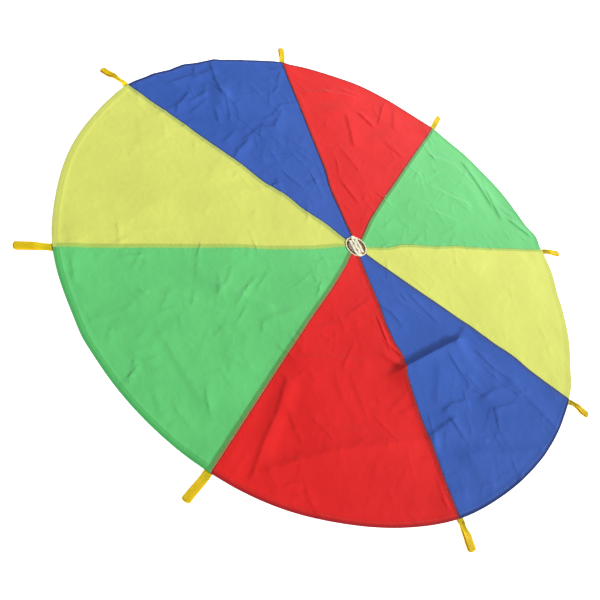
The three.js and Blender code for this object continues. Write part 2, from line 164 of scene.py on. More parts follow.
# Hand loops clockwise from the left: side of the seam, length, height, roll, sways and lift at the tip,
# and how far the webbing is folded together lengthwise at its root, in degrees
HANDLE_SHARES = [
    (0.27, 1.03, 0.88, 19, 0.09, 0.075, 0, 42),
    (-0.2, 0.9, 1.1, 0, -0.02, -0.15, 0.02, 10),
    (-0.1, 0.99, 1.15, 6, 0, 0.06, 0.09, 8),
    (-0.48, 0.98, 1.1, 12, -0.03, -0.1, 0, 24),
    (-0.39, 0.83, 0.96, -5, -0.015, -0.1, 0.06, 24),
    (0.03, 0.91, 1, -10, -0.06, -0.04, 0.02, 22),
    (-0.22, 0.92, 0.87, 0, 0, -0.1, 0, 4),
    (0, 0.98, 0.86, 0, 0, -0.05, 0, 8),
]

# The cloth's plies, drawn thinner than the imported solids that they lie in
CLOTH_THICKNESS = 0.3 * MM
SINGLE_PLY_HEIGHT = 0.4 * MM
TOP_PLY_HEIGHT = 1 * MM  # over a turned edge
TURNED_PLY_HEIGHT = 0.6 * MM
TONGUE_PLY_HEIGHT = 0.2 * MM  # the neighbour's edge, lowest in the seam
HEM_PLY_HEIGHT = 0.3 * MM
TURN_REACH = 0.35 * MM
FOLD_EASE = 4 * MM

# Crisp creases from packing: the places along each crest as radius and degrees, its height, and the widths
# of its steep and gentle sides. The cloth was pulled one way, so the steep sides face the same way. The
# first is the deep one, which pulls the cloth beside it smooth.
CREASE_HEIGHT = 4 * MM
STEEP_WIDTH = 20 * MM
GENTLE_WIDTH = 60 * MM
STEEP_SIDE_DEGREES = 190
CREASE_POWER = 1.8
CREASE_END_RUN = 22 * MM
END_RUN_SHARE = 0.5
END_RUN_PER_HEIGHT = 3
CREST_ROUNDING = 1.5 * MM
CREASED_ALIKE = 50 * MM  # beside a seam both cloths are creased alike
DEEP_CREASE_CLEAR = 100 * MM
CREASE_SHARES = [
    ([(0.51, -44.5), (0.49, -28.5), (0.51, -13)], 3.9, 1.5, 3.2),
    ([(0.515, -12.5), (0.52, -3)], 0.8, 1, 1.6),
    ([(0.545, -20), (0.59, -20.5), (0.63, -20.5), (0.665, -19)], 0.6, 0.55, 0.7),
    ([(0.62, -7.5), (0.675, -8), (0.77, -7)], 0.55, 0.55, 0.7),
    ([(0.585, -15.5), (0.615, -13.5)], 0.6, 0.4, 0.4),
    ([(0.605, -7), (0.63, -6)], 0.5, 0.4, 0.4),
    ([(0.675, -10.5), (0.71, -10.5)], 0.35, 0.35, 0.4),
    ([(0.715, -19.5), (0.725, -14.5), (0.765, -10), (0.8, -9.5)], 0.7, 0.7, 0.7),
    ([(0.675, -34), (0.67, -31.5), (0.68, -27.5)], 0.85, 0.65, 0.8),
    ([(0.735, -42), (0.73, -40.5), (0.72, -37), (0.715, -34.5)], 0.9, 0.7, 1),
    ([(0.725, -34.5), (0.765, -34)], 0.5, 0.4, 0.6),
    ([(0.77, -19), (0.805, -13.5)], 0.5, 0.5, 0.5),
    ([(0.775, -20), (0.81, -22)], 0.35, 0.35, 0.5),
    ([(0.77, -8), (0.855, -8), (0.97, -9)], 0.7, 1.1, 1.2),
    ([(0.835, -34.5), (0.84, -31.5), (0.88, -27), (0.97, -17)], 0.75, 1.9, 1.8),
    ([(0.82, -42), (0.855, -38), (0.925, -33.5)], 0.75, 1.9, 1.8),
    ([(0.27, -39), (0.295, -34.5), (0.33, -32.5)], 0.6, 0.55, 0.5),
    ([(0.305, -9), (0.405, -10)], 0.3, 0.35, 0.5),
    ([(0.655, -21.5), (0.715, -19)], 0.5, 0.4, 0.6),
    ([(0.55, -28.5), (0.625, -35)], 0.5, 1.45, 1.5),
    ([(0.66, -84.5), (0.745, -83.5), (0.845, -83.5), (0.94, -83)], 0.75, 0.7, 1),
    ([(0.56, -84.5), (0.505, -74), (0.485, -60.5)], 0.75, 1.1, 1.4),
    ([(0.46, -49), (0.495, -44.5)], 1, 0.9, 0.7),
    ([(0.33, -46.5), (0.415, -46), (0.45, -42.5)], 0.75, 0.4, 0.3),
    ([(0.57, -70.5), (0.635, -67.5), (0.675, -64)], 0.55, 1.2, 1.3),
    ([(0.55, -65), (0.655, -61)], 0.4, 0.9, 1.2),
    ([(0.73, -79), (0.72, -71), (0.72, -62.5)], 0.65, 1, 1.2),
    ([(0.91, -80.5), (0.8, -70), (0.745, -52.5), (0.75, -43)], 1.25, 1.6, 2.2),
    ([(0.31, -66.5), (0.245, -51)], 0.55, 0.6, 0.7),
    ([(0.415, -82), (0.35, -69.5)], 0.4, 0.9, 1),
    ([(0.64, -56.5), (0.665, -51), (0.64, -44.5)], 0.35, 0.8, 0.9),
    ([(0.965, 157), (0.89, 159), (0.815, 160.5)], 0.7, 0.7, 0.9),
    ([(0.8, 160), (0.74, 162.5)], 0.4, 0.4, 0.5),
    ([(0.935, 170.5), (0.935, 167), (0.935, 163.5)], 0.65, 0.65, 0.8),
    ([(0.92, 164), (0.94, 159)], 0.55, 0.6, 0.6),
    ([(0.97, 172), (0.895, 170)], 0.35, 0.4, 0.7),
    ([(0.825, 177), (0.835, 176), (0.855, 171)], 0.7, 0.65, 0.8),
    ([(0.785, 174), (0.8, 168.5)], 0.4, 0.4, 0.6),
    ([(0.825, 171), (0.835, 166)], 0.55, 0.8, 0.7),
    ([(0.86, 161), (0.81, 160), (0.73, 159.5), (0.68, 162), (0.59, 160.5)], 0.3, 0.4, 0.7),
    ([(0.74, 167.5), (0.705, 169.5)], 0.55, 0.65, 0.5),
    ([(0.615, 174), (0.625, 169.5)], 0.45, 0.65, 0.6),
    ([(0.545, 177), (0.555, 174), (0.565, 168)], 0.7, 0.7, 0.7),
    ([(0.58, 167.5), (0.6, 159)], 0.5, 0.6, 0.6),
    ([(0.58, 159), (0.61, 156), (0.6, 151), (0.67, 144.5)], 0.55, 0.65, 0.7),
    ([(0.725, 146.5), (0.69, 143.5)], 0.4, 0.4, 0.5),
    ([(0.72, 142.5), (0.735, 137)], 0.35, 0.4, 0.5),
    ([(0.825, 149.5), (0.79, 148.5)], 0.35, 0.4, 0.4),
    ([(0.46, 169), (0.405, 164.5), (0.35, 163.5), (0.31, 162)], 0.5, 0.6, 0.7),
    ([(0.475, 163), (0.445, 159)], 0.3, 0.35, 0.5),
    ([(0.45, 146), (0.4, 141.5)], 0.25, 0.4, 0.5),
    ([(0.335, 146.5), (0.29, 147), (0.28, 139)], 0.35, 0.4, 0.5),
    ([(0.57, -118), (0.47, -104)], 0.6, 0.8, 1.2),
    ([(0.8, -122), (0.7, -115)], 0.55, 0.8, 1.2),
    ([(0.63, -112), (0.72, -121)], 0.4, 0.7, 1),
    ([(0.86, -97), (0.82, -112)], 0.4, 1, 1.4),
    ([(0.42, -96), (0.5, -100)], 0.35, 0.8, 1),
    ([(0.57, -175), (0.57, -164)], 0.35, 0.9, 1.2),
    ([(0.88, -172), (0.82, -165)], 0.3, 0.9, 1.4),
    ([(0.7, -150), (0.78, -143)], 0.25, 0.9, 1.4),
    ([(0.865, 123), (0.89, 115)], 1, 0.8, 1),
    ([(0.92, 117), (0.925, 114)], 1, 0.6, 0.7),
    ([(0.78, 111.5), (0.75, 108)], 1.35, 0.7, 0.8),
    ([(0.91, 105), (0.8, 105)], 0.8, 0.7, 1),
    ([(0.725, 117), (0.57, 114.5)], 1, 0.9, 1.2),
    ([(0.91, 101), (0.82, 100)], 0.7, 0.7, 1),
    ([(0.67, 99.5), (0.65, 94)], 0.8, 0.7, 0.8),
    ([(0.82, 131), (0.86, 124)], 0.8, 0.8, 1),
    ([(0.5, 120), (0.42, 112)], 0.7, 0.8, 1),
    ([(0.3, 122), (0.24, 112)], 0.8, 0.6, 0.8),
    ([(0.93, 75), (0.9, 68), (0.875, 61)], 1.1, 0.8, 1),
    ([(0.91, 64), (0.875, 56)], 1, 0.8, 1),
    ([(0.62, 75), (0.725, 63)], 0.75, 0.9, 1.4),
    ([(0.5, 66), (0.58, 58)], 0.65, 0.8, 1.2),
    ([(0.98, 49), (0.93, 53)], 1.2, 0.6, 0.8),
    ([(0.8, 84), (0.86, 78)], 0.65, 0.8, 1.2),
    ([(0.62, 43), (0.54, 36)], 0.25, 0.8, 1.2),
    ([(0.5, 14), (0.56, 9)], 0.25, 0.8, 1.2),
    ([(0.84, 18), (0.9, 10)], 0.25, 0.9, 1.4),
]

# Small creases that the cloth also has everywhere
SMALL_CREASES = 1000
SMALL_CREASE_SEED = 11
SMALL_CREASE_AREA = (0.01, 0.97)  # where they lie, as shares of the canopy's area from the middle out
SMALL_CREASE_LENGTHS = (14 * MM, 65 * MM)
SMALL_CREASE_HEIGHTS = (0.35 * MM, 1.6 * MM)
SMALL_CREASE_WIDTHS = (5 * MM, 10 * MM)
SMALL_CREASE_HEIGHT_POWER = 3  # most of them are low
SMALL_GENTLE_SHARE = 3
SMALL_CREASE_WANDER = 1.2 * MM
WANDER_LENGTH = 34 * MM
WANDER_PHASE = 40  # radians a metre, so that they don't wander alike

# Finishes, as sRGB colours
CLOTH_HEX = {"blue": "3055A7", "red": "D61515", "green": "5CC16E", "yellow": "CED463"}
UNDER_HEX = {"blue": "3D5090", "red": "AC1D1B", "green": "4E8745", "yellow": "9DBB56"}
YELLOW_OVER_BLUE_HEX = "A4B45E"
# Painted shade in each seam's groove, a dark line along it; on the green the tan tone of the thread mixes in
FIRST_SEAM_SHADE_HEX = {"blue": "1C2644", "red": "7A1A1E", "green": "80703F", "yellow": "94C05C"}
LAST_SEAM_SHADE_HEX = {"blue": "3A3468", "red": "8A2A22", "green": "66C072", "yellow": "98A86C"}
# The hem's double ply tone, and painted shade along the rim where the hem's edge curls down
HEM_TONE_AND_RIM_SHADE_HEX = {"blue": "1A224A", "red": "8C1A20", "green": "3CA050", "yellow": "BEC464"}
HEM_TONE = {"blue": 0.06, "red": 0.15, "green": 0.35, "yellow": 0.12}
WEBBING_HEX = "D7B909"
# painted shade for the webbing's edges and between its ribs
WEBBING_SHADE_HEX = "C7A312"
CORD_HEX = "FFF8DC"
CORD_SHADE_HEX = "FFF2D0"
# Painted shade: the fine mesh under the net is dark tan, standing in for the shade in the net's gaps
GROUND_SHADED_HEX = "8E7448"
GROUND_SHADE_HEX = "64502E"
TAPE_HEX = "F6E6BE"
TAPE_SHADE_HEX = "DCC898"
TAN_TAPE_HEX = "B08A52"
TAN_SHADE_HEX = "7E5E30"
THREAD_HEX = "A88A54"
THREAD_SHADE_HEX = "7E6238"
FLOOR_HEX = "FFFFFF"
SHEEN = {"blue": 0.04, "red": 0.16, "green": 0.58, "yellow": 0.33}
CREASES_SHOW = {"blue": 1.15, "red": 0.75, "green": 0.95, "yellow": 0.5}  # the lighter cloths lie smoother
GORE_COLOURS = ["blue", "red", "green", "yellow", "blue", "red", "green", "yellow"]


def linear(hex_colour):
    shares = [int(hex_colour[i : i + 2], 16) / 255 for i in (0, 2, 4)]
    return tuple(c / 12.92 if c <= 0.04045 else ((c + 0.055) / 1.055) ** 2.4 for c in shares) + (1,)


def smooth(x, low, high):
    t = np.clip((np.asarray(x, float) - low) / (high - low), 0, 1)
    return t * t * (3 - 2 * t)


def mix(a, b, t):
    return a + (b - a) * t


def direction(degrees):
    turn = np.radians(degrees)
    return np.stack([np.cos(turn), np.sin(turn)], -1)


# Where the cloth lies


def degrees_at(gore, across):
    return mix(SEAM_ANGLES[gore], SEAM_ANGLES[gore + 1], across)


def span_of(gore):
    return math.radians(SEAM_ANGLES[gore] - SEAM_ANGLES[gore + 1])


def width_at(gore, out):
    return mix(VENT_RADIUS, RIM_RADIUS, out) * span_of(gore)


def folded_edges(gore):
    """Whether its first and its last seam edge are the one that is folded under: each seam has one."""
    return gore != 0, gore == GORES - 1


def rim_share_at(gore, across):
    place = RIM_SHARES_PER_GORE * (gore + np.asarray(across, float))
    first = np.floor(place).astype(int)
    t = place - first
    a, b, c, d = (RIM_SHARES[(first + step) % len(RIM_SHARES)] for step in (-1, 0, 1, 2))
    slope = (c - a) / 2
    next_slope = (d - b) / 2
    bend = 3 * (c - b) - 2 * slope - next_slope
    turn = 2 * (b - c) + slope + next_slope
    share = b + t * (slope + t * (bend + t * turn))
    corner = smooth(np.minimum(across, 1 - across), 0, RIM_WAVE_CORNER)
    for waved_gore, place, height, half_width in RIM_WAVES:
        if waved_gore == gore:
            wave = np.exp(-(((across - place) / half_width) ** 2))
            share = share + corner * (height * MM) / RIM_RADIUS * wave
    return share


def rim_point(gore, across):
    return direction(degrees_at(gore, across)) * (RIM_RADIUS * rim_share_at(gore, across))[..., None]


def vent_point(gore, across):
    return direction(degrees_at(gore, across)) * VENT_RADIUS + VENT_CENTRE


def sway_at(seam, out):
    places = SEAM_SWAY_SHARES[seam % GORES]
    sway = np.zeros_like(out)
    for (start, first), (end, last) in zip(places, places[1:]):
        inside = (out > start) & (out <= end)
        sway = np.where(inside, RIM_RADIUS * mix(first, last, smooth(out, start, end)), sway)
    return sway


def polar(share, degrees):
    return direction(degrees) * share * RIM_RADIUS


def to_segment(points, start, end):
    """Signed distance to a segment, positive on its left, and the share along it."""
    along = end - start
    t = np.clip((points - start) @ along / (along @ along), 0, 1)
    away = points - (start + t[..., None] * along)
    side = np.sign(along[0] * away[..., 1] - along[1] * away[..., 0])
    return side * np.hypot(away[..., 0], away[..., 1]), t


def fold_height(points):
    height = np.zeros(points.shape[:-1])
    for r0, turn0, r1, turn1, height_share, width_share in FOLD_SHARES:
        away, along = to_segment(points, polar(r0, turn0), polar(r1, turn1))
        half_width = FOLD_HALF_WIDTH * width_share
        ridge = np.cos(np.pi / 2 * np.clip(np.abs(away) / half_width, 0, 1)) ** 2
        height += FOLD_HEIGHT * height_share * ridge * mix(FOLD_END_SHARE, 1, np.sin(np.pi * along))
    x, y = points[..., 0], points[..., 1]
    ways = (x + BILLOW_SLANTS[0] * y, y + BILLOW_SLANTS[1] * x)
    wave = sum(np.sin(2 * np.pi * way / BILLOW_LENGTH) for way in ways)
    return height + BILLOW_HEIGHT * (2 + wave) / 4


def small_creases():
    rng = np.random.default_rng(SMALL_CREASE_SEED)
    deep_crest = [polar(*place) for place in CREASE_SHARES[0][0]]
    for _ in range(SMALL_CREASES):
        middle = polar(math.sqrt(rng.uniform(*SMALL_CREASE_AREA)), rng.uniform(-180, 180))
        half = direction(rng.uniform(0, 360)) * rng.uniform(*SMALL_CREASE_LENGTHS) / 2
        height = mix(*SMALL_CREASE_HEIGHTS, rng.uniform() ** SMALL_CREASE_HEIGHT_POWER)
        width = rng.uniform(*SMALL_CREASE_WIDTHS)
        clear = min(abs(to_segment(middle, *piece)[0]) for piece in zip(deep_crest, deep_crest[1:]))
        if clear > DEEP_CREASE_CLEAR:
            yield [middle - half, middle + half], height, width


def all_creases():
    for places, height, steep, gentle in CREASE_SHARES:
        crest = [polar(*place) for place in places]
        yield crest, CREASE_HEIGHT * height, STEEP_WIDTH * steep, GENTLE_WIDTH * gentle, 0
    for crest, height, width in small_creases():
        yield crest, height, width, width * SMALL_GENTLE_SHARE, SMALL_CREASE_WANDER


CREASES = list(all_creases())
STEEP_SIDE = direction(STEEP_SIDE_DEGREES)


def crest_profile(points, start, end, steep, gentle, wander, end_run):
    """The height share beside one straight piece of a crest, which fades past its ends."""
    along = end - start
    length = np.hypot(*along)
    steep_on_left = along[0] * STEEP_SIDE[1] > along[1] * STEEP_SIDE[0]
    left, right = (steep, gentle) if steep_on_left else (gentle, steep)
    away = points - start
    out = away @ along / length
    aside = (along[0] * away[:, 1] - along[1] * away[:, 0]) / length
    aside = aside + wander * np.sin(2 * np.pi * out / WANDER_LENGTH + WANDER_PHASE * start[0])
    rounded = np.hypot(aside, CREST_ROUNDING) - CREST_ROUNDING
    profile = np.clip(1 - rounded / np.where(aside > 0, left, right), 0, 1) ** CREASE_POWER
    past = np.maximum(np.maximum(-out, out - length), 0)
    return profile * np.exp(-((past / end_run) ** 2))


def crease_height(points):
    """Ridges that fall away from a rounded crest on a steep and a gentle side."""
    flat = points.reshape(-1, 2)
    height = np.zeros(len(flat))
    low, high = flat.min(0), flat.max(0)
    for crest, top, steep, gentle, wander in CREASES:
        end_run = min(CREASE_END_RUN, END_RUN_SHARE * np.linalg.norm(crest[-1] - crest[0]))
        end_run = max(end_run, END_RUN_PER_HEIGHT * top)
        reach = max(steep, gentle, 2 * end_run)
        least, most = np.min(crest, 0) - reach, np.max(crest, 0) + reach
        if (most < low).any() or (least > high).any():
            continue
        near = ((flat > least) & (flat < most)).all(1)
        pieces = zip(crest, crest[1:])
        shares = [crest_profile(flat[near], *piece, steep, gentle, wander, end_run) for piece in pieces]
        height[near] += top * np.max(shares, 0)
    return height.reshape(points.shape[:-1])


def underside_at(points, from_vent, from_rim, from_seam, creased):
    on_tape = CLOTH_ON_BACK_TAPE * (1 - smooth(from_vent, CROWN_FLAT_WIDTH, CROWN_FLAT_WIDTH + LIFT_RUN))
    beside_strap = 1 - smooth(from_seam, STRAP_REACH, STRAP_REACH + LIFT_RUN)
    above_strap = 1 - smooth(from_rim, TAIL_REACH, TAIL_REACH + LIFT_RUN)
    fade = (FLAT_RIM, FLAT_RIM + FOLD_FADE_RUN)
    free = smooth(from_vent, *fade) * smooth(from_rim, *fade)
    loose = smooth(from_vent, 0, FLAT_RIM)
    height = on_tape + CLOTH_ON_STRAP * beside_strap * above_strap + fold_height(points) * free
    return height + crease_height(points) * loose * mix(1, creased, smooth(from_seam, 0, CREASED_ALIKE))


def length_at(gore, across):
    return np.linalg.norm(rim_point(gore, across) - vent_point(gore, across), axis=-1)


def middle_length(gore):
    return float(length_at(gore, np.array(0.5)))


def cloth_points(gore, across, from_vent):
    """Places on the underside of a gore's cloth, for arrays of places across it and along it."""
    across, from_vent = np.broadcast_arrays(np.asarray(across, float), np.asarray(from_vent, float))
    length = length_at(gore, across)
    out = from_vent / length
    width = width_at(gore, out)
    sway = mix(sway_at(gore, out), sway_at(gore + 1, out), np.clip(across, 0, 1))
    place = mix(vent_point(gore, across), rim_point(gore, across), out[..., None])
    place = place + direction(degrees_at(gore, across) + 90) * sway[..., None]
    from_seam = width * np.minimum(across, 1 - across)
    creased = CREASES_SHOW[GORE_COLOURS[gore]]
    height = underside_at(place, from_vent, length - from_vent, from_seam, creased)
    return np.concatenate([place, height[..., None]], -1), width, length


# Meshes


def mesh_object(name, points, faces, material, smooth_faces=True):
    mesh = bpy.data.meshes.new(name)
    mesh.from_pydata(points.reshape(-1, 3).tolist(), [], faces)
    mesh.validate()
    mesh.materials.append(material)
    if smooth_faces:
        mesh.polygons.foreach_set("use_smooth", np.ones(len(mesh.polygons), bool))
    piece = bpy.data.objects.new(name, mesh)
    bpy.context.scene.collection.objects.link(piece)
    return piece


def joined(name, parts, material):
    points, faces, start = [], [], 0
    for part_points, part_faces in parts:
        points.append(part_points)
        faces += [[start + v for v in face] for face in part_faces]
        start += len(part_points)
    return mesh_object(name, np.concatenate(points), faces, material)


def grid_faces(rows, columns, kept):
    i, j = np.meshgrid(np.arange(rows - 1), np.arange(columns - 1), indexing="ij")
    corner = (i[kept] * columns + j[kept]).ravel()
    return np.stack([corner, corner + 1, corner + columns + 1, corner + columns], 1).tolist()


def ring_faces(rings, sides, closed=False):
    """Faces that join rings of points: a band closed on itself, or a rod with a cap at each end."""
    faces = []
    for ring in range(rings if closed else rings - 1):
        start, following = ring * sides, (ring + 1) % rings * sides
        for k in range(sides):
            m = (k + 1) % sides
            faces.append([start + k, start + m, following + m, following + k])
    if not closed:
        faces.append(list(range(sides))[::-1])
        faces.append([(rings - 1) * sides + k for k in range(sides)])
    return faces


def unit(rows):
    return rows / np.linalg.norm(rows, axis=-1, keepdims=True)


def run_along(line):
    """The distance along a line at each of its points."""
    return np.concatenate([[0], np.cumsum(np.linalg.norm(np.diff(line, axis=0), axis=1))])


def add_floats(mesh, name, values):
    attribute = mesh.attributes.new(name, "FLOAT", "POINT")
    attribute.data.foreach_set("value", values.astype(np.float32).ravel())


def add_cloth_map(mesh, name, flat):
    layer = mesh.uv_layers.new(name=name)
    corners = np.empty(len(mesh.loops), int)
    mesh.loops.foreach_get("vertex_index", corners)
    layer.data.foreach_set("uv", flat.reshape(-1, 2)[corners].astype(np.float32).ravel())


# Cloth

EDGE_DISTANCES = np.array([0.15, 2, 4, 6, 8, 10, 12, 14, 17, 22]) * MM
EDGE_LIMIT_SHARE = 0.38
STRIP_DISTANCES = np.array([12, 9, 6, 3, 0.6]) * MM
COLUMN_PITCH = 8 * MM
ROW_PITCH = 8 * MM
FINE_PASSES = 2
FINE_ERROR = 0.07 * MM  # the cloth is drawn finer where a straight edge misses it by more
HEM_ROWS_FROM_RIM = np.array([20, 18, 16, 14, 12, 9, 6, 3, 1, 0.35]) * MM
TURNED_ROWS = np.array([0, 0.35, 3, 7, 11, 15, 17.5]) * MM
NO_FOLD = 1.0  # metres: further than any band reaches
TOP_PLY, FIRST_STRIP, LAST_STRIP, TURNED_HEM = range(4)


def drawn_finer(gore, cut, faces):
    """Splits the edges of the flat cut where the laid cloth bends sharply. A point of the cut holds its
    share across the gore, its distance from the vent and its layer."""
    mesh = bpy.data.meshes.new("cut")
    mesh.from_pydata(cut.tolist(), [], faces)
    work = bmesh.new()
    work.from_mesh(mesh)
    for _ in range(FINE_PASSES):
        ends = np.array([[v.co[:] for v in edge.verts] for edge in work.edges])
        places = np.concatenate([ends, ends.mean(1, keepdims=True)], 1)
        laid, _, length = cloth_points(gore, places[..., 0], places[..., 1])
        missed = np.abs(laid[:, 2, 2] - laid[:, :2, 2].mean(1))
        from_rim = length[:, 2] - places[:, 2, 1]
        same_layer = ends[:, 0, 2] == ends[:, 1, 2]
        wanted = (missed > FINE_ERROR) & same_layer & (from_rim > HEM_WIDTH + 2 * FOLD_EASE)
        split = [edge for edge, on in zip(work.edges, wanted) if on]
        bmesh.ops.subdivide_edges(work, edges=split, cuts=1, use_grid_fill=True)
    bmesh.ops.delete(work, geom=[v for v in work.verts if not v.link_faces], context="VERTS")
    work.verts.index_update()
    cut = np.array([v.co[:] for v in work.verts])
    faces = [[v.index for v in face.verts] for face in work.faces]
    work.free()
    bpy.data.meshes.remove(mesh)
    return cut, faces


def gore_cut(gore):
    """The flat cut of a gore with its hem and both seam edges: for each point its share across, its
    distance from the vent and its layer, and the faces."""
    middle = middle_length(gore)
    top_rows = int(middle / ROW_PITCH)
    between = int(RIM_RADIUS * math.pi / 4 / COLUMN_PITCH)
    strips = len(STRIP_DISTANCES)

    # Rows from the vent to the hem, over it and back under it, as shares of the way out or, near the rim,
    # as distances from it
    to_hem = np.linspace(0, 1 - HEM_ROWS_FROM_RIM[0] / middle, top_rows)
    from_rim = np.concatenate([np.full(top_rows, np.nan), HEM_ROWS_FROM_RIM[1:], TURNED_ROWS])
    out = np.concatenate([to_hem, np.ones(len(from_rim) - top_rows)])
    turned = np.arange(len(out)) >= len(out) - len(TURNED_ROWS)

    # Columns, closer together beside the seams. The strip beyond a seam is folded back under this gore, or
    # goes on flat under the neighbour.
    width = width_at(gore, out)
    limits = np.linspace(0, EDGE_LIMIT_SHARE, len(EDGE_DISTANCES))
    edge = EDGE_DISTANCES / width[:, None]
    edge = np.minimum(edge, np.maximum(limits, edge[:, :1]))
    inner = np.linspace(0, 1, between + 1)[1:-1]
    last = edge[:, -1:]
    across = np.concatenate([edge, last + (1 - 2 * last) * inner, 1 - edge[:, ::-1]], 1)
    strip = np.minimum(STRIP_DISTANCES / width[:, None], EDGE_LIMIT_SHARE)
    first_strip, last_strip = (strip if folded else -strip for folded in folded_edges(gore))
    across = np.concatenate([first_strip, across, 1 - last_strip[:, ::-1]], 1)
    rows, columns = across.shape

    length = length_at(gore, across)
    from_vent = np.where(np.isnan(from_rim)[:, None], out[:, None] * length, length - from_rim[:, None])
    column = np.arange(columns)
    layer = np.where(column < strips, FIRST_STRIP, np.where(column >= columns - strips, LAST_STRIP, TOP_PLY))
    layer = np.where(turned[:, None], TURNED_HEM, layer[None, :])

    row_index, column_index = np.meshgrid(np.arange(rows - 1), column[:-1], indexing="ij")
    strip_face = (column_index < strips) | (column_index >= columns - strips - 1)
    kept = ~(strip_face & (row_index >= top_rows - 1))
    cut = np.stack([across, from_vent, layer], -1)
    return drawn_finer(gore, cut.reshape(-1, 3), grid_faces(rows, columns, kept))


def gore_piece(gore, material):
    """One gore of taffeta with its hem turned under and both seam edges folded away beneath. Each ply lies
    at its own height, raised over a turned edge and sunk where it goes under the neighbour."""
    cut, faces = gore_cut(gore)
    across, from_vent, layer = cut.T
    points, width, length = cloth_points(gore, across, from_vent)
    rim_distance = length - from_vent
    over_hem = 1 - smooth(rim_distance, HEM_WIDTH, HEM_WIDTH + FOLD_EASE)
    over_turn = over_hem
    sunk = np.zeros_like(over_hem)
    floats = {"rim_distance": rim_distance}
    for side, (name, folded) in enumerate(zip(("first", "last"), folded_edges(gore))):
        distance = np.abs(side - across) * width
        floats[f"{name}_seam"] = distance
        floats[f"{name}_fold"] = np.where((layer == TOP_PLY) & folded, distance, NO_FOLD)
        if folded:
            past_fold = smooth(distance, SEAM_ALLOWANCE, SEAM_ALLOWANCE + FOLD_EASE)
            over_turn = np.maximum(over_turn, 1 - past_fold)
        else:
            sunk = np.maximum(sunk, 1 - smooth(distance, 0, FOLD_EASE))

    height = mix(SINGLE_PLY_HEIGHT, TOP_PLY_HEIGHT, over_turn)
    height = mix(height, TONGUE_PLY_HEIGHT, sunk * (1 - over_hem))
    for strip_layer, folded in zip((FIRST_STRIP, LAST_STRIP), folded_edges(gore)):
        height = np.where(layer == strip_layer, TURNED_PLY_HEIGHT if folded else TONGUE_PLY_HEIGHT, height)
    at_turn = rim_distance <= TURN_REACH / 2
    turned_height = np.where(at_turn, (HEM_PLY_HEIGHT + TOP_PLY_HEIGHT) / 2, HEM_PLY_HEIGHT)
    points[..., 2] += np.where(layer == TURNED_HEM, turned_height, height)

    piece = mesh_object(f"gore_{gore + 1}_{GORE_COLOURS[gore]}_taffeta", points, faces, material)
    for name, values in floats.items():
        add_floats(piece.data, name, values)
    add_cloth_map(piece.data, "cloth", np.stack([(across - 0.5) * width, from_vent], -1))
    return piece


def solidify(piece, thickness):
    modifier = piece.modifiers.new("ply", "SOLIDIFY")
    modifier.thickness = thickness
    modifier.offset = 0


# Stitching

STITCH_PITCH = 4 * MM
STITCH_LENGTH = 3 * MM
THREAD_RADIUS = 0.2 * MM
STITCH_RINGS = ((-1, 0.5, -0.3), (0, 1, 0.45), (1, 0.5, -0.3))  # place along a stitch, swell and lift
STITCH_SIDES = ((1, 0), (0, 1), (-1, 0), (0, -1))
STITCH_FACES = ring_faces(len(STITCH_RINGS), len(STITCH_SIDES))
STITCH_LINE_POINTS = 400
HEM_STITCH_FROM_RIM = 14 * MM
HEM_STITCH_ENDS = 0.003  # the share across the gore where the hem's stitches begin and end
SEAM_STITCHES_FROM_SEAM = (1.6 * MM, 10.5 * MM)


def stitch(line, run, centre):
    """One stitch of thread that bows up between its ends."""
    places = centre + np.array([ring[0] for ring in STITCH_RINGS]) * STITCH_LENGTH / 2
    middles = np.stack([np.interp(places, run, line[:, k]) for k in range(3)], 1)
    along = unit(middles[-1] - middles[0])
    side = unit(np.array([-along[1], along[0], 0]))
    up = np.cross(along, side)
    points = []
    for middle, (_, swell, lift) in zip(middles, STITCH_RINGS):
        middle = middle + up * THREAD_RADIUS * lift
        points += [middle + (side * a + up * b) * THREAD_RADIUS * swell for a, b in STITCH_SIDES]
    return points, STITCH_FACES


def stitches(name, lines, material):
    """Short stitches of thread along lines of points that lie on the cloth."""
    parts = []
    for line in lines:
        run = run_along(line)
        parts += [stitch(line, run, centre) for centre in np.arange(STITCH_PITCH / 2, run[-1], STITCH_PITCH)]
    return joined(name, parts, material)


def top_of_cloth(gore, across, from_vent):
    points, _, _ = cloth_points(gore, across, from_vent)
    points[..., 2] += TOP_PLY_HEIGHT + CLOTH_THICKNESS / 2
    return points


def gore_stitching(gore, material):
    across = np.linspace(HEM_STITCH_ENDS, 1 - HEM_STITCH_ENDS, STITCH_LINE_POINTS)
    lines = [top_of_cloth(gore, across, length_at(gore, across) - HEM_STITCH_FROM_RIM)]
    for side in [side for side, folded in enumerate(folded_edges(gore)) if folded]:
        length = float(length_at(gore, np.array(float(side))))
        from_vent = np.linspace(CROWN_FLAT_WIDTH, length - HEM_STITCH_FROM_RIM, STITCH_LINE_POINTS)
        width = width_at(gore, from_vent / length)
        for distance in SEAM_STITCHES_FROM_SEAM:
            share = np.minimum(distance / width, EDGE_LIMIT_SHARE)
            lines.append(top_of_cloth(gore, share if side == 0 else 1 - share, from_vent))
    return stitches(f"gore_{gore + 1}_stitching", lines, material)


# Materials

# Texture scales, with the size in millimetres that they give
TONE_SCALE = 4.5  # 220
CRINKLE_SCALE = 22  # 45
CRUMPLE_SCALE = 16  # 60
PUCKER_SCALE = 75  # 13
PUCKER_REACH = (3 * MM, 42 * MM)
DRAWN_WEAVE_PITCH = 1.2 * MM  # the real threads, 0.25 mm apart, don't show at this size
WEBBING_RIB_PITCH = 2 * MM


def add_node(tree, kind, inputs=None, **settings):
    node = tree.nodes.new(kind)
    for key, value in settings.items():
        setattr(node, key, value)
    for key, value in (inputs or {}).items():
        if isinstance(value, bpy.types.NodeSocket):
            tree.links.new(value, node.inputs[key])
        else:
            node.inputs[key].default_value = value
    return node


def new_material(name):
    material = bpy.data.materials.new(name)
    material.use_nodes = True
    tree = material.node_tree
    tree.nodes.clear()
    return material, tree


def wave_scale(period):
    """The scale that gives a wave texture's bands this period."""
    return math.pi / (10 * period)


